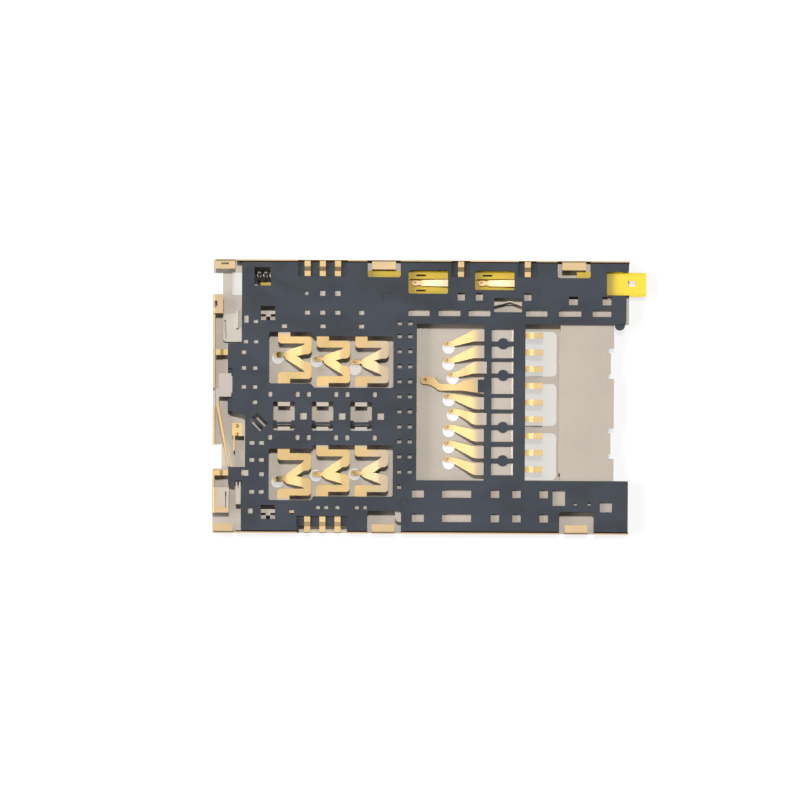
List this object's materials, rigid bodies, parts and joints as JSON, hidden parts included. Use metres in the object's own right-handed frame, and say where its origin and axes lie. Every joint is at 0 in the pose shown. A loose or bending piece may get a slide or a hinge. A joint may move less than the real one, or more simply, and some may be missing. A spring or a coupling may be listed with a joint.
{
  "type": "sim and memory card socket",
  "caption": "Surface-mount socket for a tray with a SIM card and a memory card: stamped shell, dark housing, sprung gold contacts and a yellow push rod that ejects the tray.",
  "frame": {"origin": "middle of the bounding box in plan, on the shell's outer face", "axes": "+X towards the mouth where the tray goes in, +Z from the shell's outer face towards the board, +Y completes the right-handed set and points to the eject rod's side"},
  "size_m": [0.0286, 0.018, 0.0014],
  "materials": {
    "shell_steel": "satin nickel plated sheet",
    "housing_plastic": "matt moulded",
    "gold_contact": "gold flash on sprung strip",
    "yellow_plastic": "satin moulded",
    "spring_wire": "drawn stainless wire and strip",
    "lever_steel": "stamped stainless sheet"
  },
  "bodies": {
    "socket": {"metal_shell": "shell_steel", "housing": "housing_plastic", "guide_frame": "shell_steel", "sim_contact_1": "gold_contact", "sim_contact_2": "gold_contact", "sim_contact_3": "gold_contact", "sim_contact_4": "gold_contact", "sim_contact_5": "gold_contact", "sim_contact_6": "gold_contact", "card_contact_1": "gold_contact", "card_contact_2": "gold_contact", "card_contact_3": "gold_contact", "card_contact_4": "gold_contact", "card_contact_5": "gold_contact", "card_contact_6": "gold_contact", "card_contact_7": "gold_contact", "card_contact_8": "gold_contact", "card_detect_contact": "gold_contact", "rod_contact_1": "gold_contact", "rod_contact_2": "gold_contact", "return_spring": "spring_wire", "tray_latch_spring": "spring_wire", "switch_spring": "gold_contact", "switch_contact": "gold_contact"},
    "rod": {"eject_rod": "yellow_plastic"},
    "lever": {"eject_lever": "lever_steel"}
  },
  "joints": [
    {"name": "rod_slide", "type": "slide", "parent": "socket", "child": "rod", "axis": [-1, 0, 0], "range_m": [0, 0.0011], "stiffness_N_per_m": 200, "springref_m": -0.0005, "deforming": ["return_spring"]},
    {"name": "lever_pivot", "type": "hinge", "parent": "socket", "child": "lever", "pos_m": [-0.01145, 0.00411, 0.00035], "axis": [0, 0, 1], "range_deg": [0, 21.1]}
  ],
  "couplings": [
    {"joint": "lever_pivot", "follows": "rod_slide", "rad_per_m": 333.33}
  ]
}
